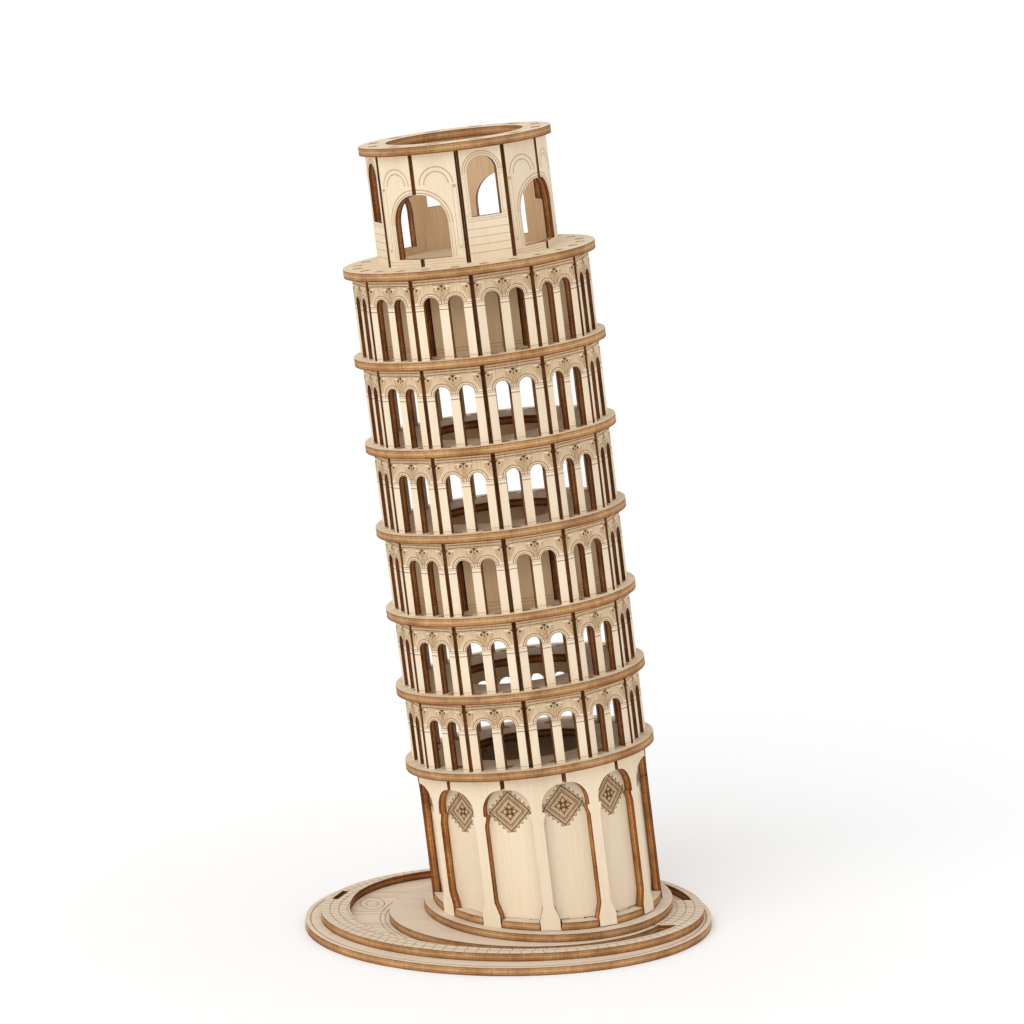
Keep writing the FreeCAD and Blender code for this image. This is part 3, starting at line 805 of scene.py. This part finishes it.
def rings():
    """The ring floors and the crown, each with the slots of what stands on and under it."""
    foot_tab = [(-COLUMN_HALF, COLUMN_HALF)]
    head_tabs = pair_of(HEAD_TABS)
    drum = slots(DRUM_FACE, 0, DRUM_SIDES, [(-DRUM_TAB, DRUM_TAB)])
    between = slots(PANEL_FACE, STEP / 2, PANELS, foot_tab + head_tabs)
    first = (slots(PANEL_FACE, STEP / 2, PANELS, foot_tab)
             + slots(PANEL_FACE, 0, PANELS, [(-PILASTER_TAB, PILASTER_TAB)])
             + slots(WALL_FACE, STEP / 2, PANELS, [(-WALL_TAB, WALL_TAB)]))
    last = (slots(PANEL_FACE, STEP / 2, PANELS, head_tabs)
            + slots(BELFRY_FACE, STEP / 2, PANELS, pair_of(FOOT_TABS)))
    crown = slots(BELFRY_FACE, STEP / 2, PANELS, [(-BELFRY_HEAD_TAB, BELFRY_HEAD_TAB)])
    well = [circle((0, 0), RING_HOLE)]
    cuts = {1: first, 2: between, 3: between + drum, 4: between, 5: between,
            6: between + drum}
    floors = [(f"ring_{number}", RING_RADIUS, holes + well) for number, holes in cuts.items()]
    floors += [("belfry_floor", RING_RADIUS, last), ("crown_ring", CROWN_RADIUS, crown + well)]
    for node, radius, holes in floors:
        shape = Cut([circle((0, 0), radius)], holes)
        looks = CROWN_LOOKS if node == "crown_ring" else RING_LOOKS
        place_piece(f"{node}_sheet", shape, tower(top_of(node) - SHEET), looks,
                    [node], chance.uniform(60, 120))


# ---------------------------------------------------------------- the ground storey

def level_cut(placement, across, height):
    """How high up a standing piece a level plane crosses it, where the first of its faces does."""
    reached = []
    for depth in (0, SHEET):
        foot = placement @ Vector((across, 0, depth))
        reached.append((height - foot.z) / placement[2][1])
    return max(reached)


PLINTH_TOP = 3 * SHEET
FOOT_RING_TOP = 4 * SHEET


def pilaster_shape(placement):
    """Half arches that spring from a shaft, whose foot stands on the plinth."""
    half = half_width(PANEL_FACE, PANELS)
    head, stilt, shaft, foot = 4, 1.5, 2, PILASTER_FOOT
    capital, abacus, capital_height = 2.9, 0.9, 3.5
    radius = half - shaft
    springing = -head - radius
    ledge = springing - stilt
    clear, flare = 1.1, 4.8
    foot_top = level_cut(placement, 0, FOOT_RING_TOP) + clear
    right_half = [
        (foot, foot_top), (shaft, foot_top + flare),
        (shaft, ledge - capital_height), (capital, ledge - abacus), (capital, ledge),
        (shaft, ledge), (shaft, springing), (half, -head, radius, -1), (half, 0),
        (PILASTER_TAB, 0), (PILASTER_TAB, SHEET),
    ]
    bottom = [(x, level_cut(placement, x, PLINTH_TOP)) for x in (-foot, foot)]
    outline = [bottom[1]] + right_half + flipped(right_half) + [bottom[0]]
    return Cut([traced(outline)])


def lozenge(centre, reach):
    """A saw-toothed lozenge with two frames and a knot of four petals."""
    teeth, tooth = 5, 1.2
    corners = [Vector((0, reach)), Vector((-reach, 0)), Vector((0, -reach)), Vector((reach, 0))]
    border = []
    for index, corner in enumerate(corners):
        following = corners[(index + 1) % 4]
        out = (corner + following).normalized() * tooth
        for part in range(teeth):
            border.append(corner.lerp(following, part / teeth))
            border.append(corner.lerp(following, (part + 0.5) / teeth) + out)
    tone = [[point + Vector(centre) for point in border]]
    lines = loop(border, 0.22)
    for scale, width in ((0.97, 0.36), (0.78, 0.2), (0.68, 0.3)):
        for index, corner in enumerate(corners):
            ends = [corner * scale, corners[(index + 1) % 4] * scale]
            lines.append(stroke(ends, width))
    petal, reach_in = 0.85, 1.75
    for quarter in range(4):
        angle = math.radians(90 * quarter)
        heart = Vector((math.cos(angle), math.sin(angle))) * reach_in
        lines += loop(circle(heart, petal, 16), 0.36)
        lines.append(circle(heart * 1.75, 0.34, 8))
        slant = Vector((math.cos(angle + math.pi / 4), math.sin(angle + math.pi / 4)))
        lines.append(stroke([slant * 0.8, slant * 2.5], 0.5))
    lines += loop(circle((0, 0), 0.6, 12), 0.3)
    return tone, [[Vector(point) + Vector(centre) for point in line] for line in lines]


def wall_shape(placement):
    """A plain wall with a lozenge, tabbed into the first ring and the foot ring."""
    half = half_width(WALL_FACE, PANELS)
    tab = WALL_TAB
    feet = [(x, level_cut(placement, x, FOOT_RING_TOP)) for x in (tab, half)]
    far_feet = [(x, level_cut(placement, x, FOOT_RING_TOP)) for x in (-half, -tab)]
    outline = [(tab, level_cut(placement, tab, PLINTH_TOP)), *feet, (half, 0), (tab, 0),
               (tab, SHEET), (-tab, SHEET), (-tab, 0), (-half, 0), *far_feet,
               (-tab, level_cut(placement, -tab, PLINTH_TOP))]
    drop, reach = 13.3, 7.5
    tone, lines = lozenge((0, -drop), reach)
    return Cut([outline], engraved={TONE: tone, DARK: lines})


def ground_storey():
    """Twelve pilasters before twelve walls, all hung under the first ring."""
    underside = top_of("ring_1") - SHEET
    for index in range(PANELS):
        azimuth = STEP * index
        placement = tower(underside, azimuth) @ standing(PANEL_FACE)
        place_piece(f"pilaster_{index + 1:02d}_sheet", pilaster_shape(placement), placement,
                    PILASTER_LOOKS, [f"pilaster_{index + 1:02d}"])
        placement = tower(underside, azimuth + STEP / 2) @ standing(WALL_FACE)
        place_piece(f"ground_wall_{index + 1:02d}_sheet", wall_shape(placement), placement,
                    PANEL_LOOKS, [f"ground_wall_{index + 1:02d}"])


# ---------------------------------------------------------------- the base

COURT_CENTRE = (5, 2.5)
COURT_HALF = (63.7, 50.5)
COURT_SQUARENESS = 2.3
CAUSEWAY_LEFT, CAUSEWAY_FRONT, CAUSEWAY_REAR = 50, -21.5, 8.5
PAVING_CENTRE, PAVING_HALF = (1.5, 1), (70.8, 54.5)


def court_outline(spread=0.0):
    """The court's edge: an ellipse whose left rear quarter is fuller."""
    points = []
    for index in range(CIRCLE_STEPS):
        angle = 2 * math.pi * index / CIRCLE_STEPS
        across, along = math.cos(angle), math.sin(angle)
        power = 2 / COURT_SQUARENESS if across < 0 < along else 1
        points.append(Vector((
            COURT_CENTRE[0] + (COURT_HALF[0] + spread) * math.copysign(abs(across) ** power, across),
            COURT_CENTRE[1] + (COURT_HALF[1] + spread) * math.copysign(abs(along) ** power, along))))
    return points


def clipped(polygon, at, axis, side):
    """The part of a polygon below (side 1) or above (side -1) a value of X (axis 0) or Y (axis 1)."""
    kept = []
    for index, point in enumerate(polygon):
        before = polygon[index - 1]
        inside = (point[axis] - at) * side <= 0
        was_inside = (before[axis] - at) * side <= 0
        if inside != was_inside:
            part = (at - before[axis]) / (point[axis] - before[axis])
            kept.append(before.lerp(point, part))
        if inside:
            kept.append(point)
    return kept


def court_holes():
    """The open court as three pieces that leave the causeway standing."""
    court = court_outline()
    left = clipped(court, CAUSEWAY_LEFT, 0, 1)
    right = clipped(court, CAUSEWAY_LEFT, 0, -1)
    return [left, clipped(right, CAUSEWAY_FRONT, 1, 1), clipped(right, CAUSEWAY_REAR, 1, -1)]


def inside(point, polygon):
    """True if a point lies in a polygon."""
    crossings = False
    for index, end in enumerate(polygon):
        start = polygon[index - 1]
        if (start.y > point.y) != (end.y > point.y):
            at = start.x + (point.y - start.y) / (end.y - start.y) * (end.x - start.x)
            if at > point.x:
                crossings = not crossings
    return crossings


def paving_joints(holes):
    """Courses of setts that follow the plate's rim, in running bond."""
    course, sett, width, courses = 3.3, 3.6, 0.28, 8
    lines = []
    for row in range(1, courses):
        rim = ellipse(PAVING_CENTRE, PAVING_HALF[0] - course * row, PAVING_HALF[1] - course * row)
        lines += loop(rim, width)
    for row in range(courses - 1):
        half_length = PAVING_HALF[0] - course * (row + 0.5)
        half_depth = PAVING_HALF[1] - course * (row + 0.5)
        count = round(2 * math.pi * (half_length + half_depth) / 2 / sett)
        for index in range(count):
            angle = 2 * math.pi * (index + (row % 2) / 2) / count
            centre = Vector((PAVING_CENTRE[0] + half_length * math.cos(angle),
                             PAVING_CENTRE[1] + half_depth * math.sin(angle)))
            if any(inside(centre, hole) for hole in holes):
                continue
            out = Vector((math.cos(angle) * half_depth, math.sin(angle) * half_length))
            out = out.normalized() * course / 2
            lines.append(stroke([centre - out, centre + out], width))
    return lines


LAWN_CENTRE, LAWN_HALF = (8, -1.5), (52, 44)


def court_paths():
    """The court's engraving: paths along X, a round bed between them, and the lawn's kerb."""
    width = 0.34
    bed, bed_radii, bed_depth = (-50.5, 16.2), (2.3, 4.6), 1.5
    path_left, path_right = -66, -34
    path_edges = (30.2, 25.5, 23.8, 8.4, 6.6, 3.5, -8.0, -9.8, -12.4, -18.6, -20.4)
    kerbs = (1.6, 3.4)
    lines = []
    for radius in bed_radii:
        lines += loop(ellipse(bed, radius, radius * bed_depth, 40), width)
    for height in path_edges:
        lines.append(level_line(path_left, path_right, height, width))
    for spread in kerbs:
        lines += loop(ellipse(LAWN_CENTRE, LAWN_HALF[0] + spread, LAWN_HALF[1] + spread), width)
    return lines


def base_plate_shape():
    """The bottom oval, with a line inside its rim and the court's paths."""
    centre = middle("base_plate")
    low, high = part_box("base_plate")
    half = (high - low) / (2 * MM)
    border, width = 1.9, 0.5
    lines = loop(ellipse(centre, half.x - border, half.y - border), width)
    return Cut([ellipse(centre, half.x, half.y)], engraved={LINE: lines + court_paths()})


def paving_shape():
    """The paving around the court, with the slot left open in it."""
    holes = court_holes()
    corner, turn, length, width = (-63.3, 12.2), 67.5, 10.5, 2.4
    spare = turned(rectangle(0, length, 0, width), turn, corner)
    seam_left, seam_right, seam_outer, seam_inner = 23.9, 24.05, -56, -50.5
    seam = rectangle(seam_left, seam_right, seam_outer, seam_inner)
    plate = ellipse(PAVING_CENTRE, *PAVING_HALF)
    return Cut([plate], [*holes, spare, seam], {LINE: paving_joints(holes)})


def lawn_shape():
    """The inner oval, notched for the causeway."""
    play = 0.5
    oval = ellipse(LAWN_CENTRE, *LAWN_HALF)
    notch = rectangle(CAUSEWAY_LEFT - play, PAVING_HALF[0], CAUSEWAY_FRONT - play,
                      CAUSEWAY_REAR + play)
    return Cut([oval], [notch])


def socket_sections(face, half, azimuth, open_side):
    """Where a leaning foot passes through the foot ring, at its underside and at its top."""
    beyond_rim = 10
    reach = SHEET + FOOT_PLAY + (beyond_rim if open_side else FOOT_PLAY)
    inner = -face + SHEET + FOOT_PLAY
    sections = []
    for height in (PLINTH_TOP, FOOT_RING_TOP):
        section = []
        for x, y in rectangle(-half - FOOT_PLAY, half + FOOT_PLAY, inner - reach, inner):
            point = tower(0, azimuth) @ Vector((x, y, 0))
            point += AXIS * ((height - point.z) / AXIS.z)
            section.append((point.x, point.y))
        sections.append(section)
    return sections


def foot_ring_shape():
    """The notched ring, with open notches for the pilasters and slots for the walls."""
    radius, opening = 42, 26
    centre = axis_at(3.5 * SHEET)
    holes = [circle(centre, opening)]
    for index in range(PANELS):
        holes += socket_sections(PANEL_FACE, PILASTER_FOOT, STEP * index, True)
        holes += socket_sections(WALL_FACE, WALL_TAB, STEP * (index + 0.5), False)
    return Cut([circle(centre, radius)], holes)


def base():
    """The plates that lie under the tower, from the table up."""
    plinth = Cut([circle(middle("plinth_disc"), RING_RADIUS)])
    for node, shape in (("base_plate", base_plate_shape()), ("paving_plate", paving_shape()),
                        ("lawn_plate", lawn_shape()), ("plinth_disc", plinth),
                        ("foot_ring", foot_ring_shape())):
        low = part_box(node)[0].z / MM
        place_piece(f"{node}_sheet", shape, Matrix.Translation((0, 0, low)), BASE_LOOKS,
                    [node], 90)


# ---------------------------------------------------------------- the set

def plain_material(name, colour, roughness):
    """A matt surface of one colour."""
    material = bpy.data.materials.new(name)
    material.use_nodes = True
    shader = material.node_tree.nodes["Principled BSDF"]
    shader.inputs["Base Color"].default_value = colour
    shader.inputs["Roughness"].default_value = roughness
    return material


def floor():
    """A pale floor that reaches beyond the camera's view."""
    mesh = bpy.data.meshes.new("floor")
    reach = 8
    mesh.from_pydata([(-reach, -reach, 0), (reach, -reach, 0), (reach, reach, 0),
                      (-reach, reach, 0)], [], [(0, 1, 2, 3)])
    mesh.materials.append(plain_material("floor", (0.93, 0.93, 0.93, 1), 0.9))
    plane = bpy.data.objects.new("floor", mesh)
    bpy.context.scene.collection.objects.link(plane)


def lighting():
    """Even white light from all round, with a soft key from the upper front left."""
    world = bpy.data.worlds.new("studio")
    world.use_nodes = True
    background = world.node_tree.nodes["Background"]
    background.inputs["Color"].default_value = (1, 1, 1, 1)
    background.inputs["Strength"].default_value = 0.9
    bpy.context.scene.world = world
    light = bpy.data.lights.new("key", "SUN")
    light.energy = 1.0
    light.angle = math.radians(50)
    lamp = bpy.data.objects.new("key", light)
    lamp.rotation_euler = Vector((-0.75, -1, 1.2)).to_track_quat("Z", "Y").to_euler()
    bpy.context.scene.collection.objects.link(lamp)


def camera():
    """The view of the photographed side."""
    data = bpy.data.cameras.new("camera")
    data.lens = 165.42
    data.sensor_width = 36
    seen = bpy.data.objects.new("camera", data)
    seen.location = (-0.0326, -1.6627, 0.5348)
    seen.rotation_euler = (math.radians(77.174), 0, math.radians(-1.167))
    bpy.context.scene.collection.objects.link(seen)
    bpy.context.scene.camera = seen


storeys()
belfry()
rings()
ground_storey()
base()
floor()
lighting()
camera()
bpy.context.scene.view_settings.view_transform = "Standard"
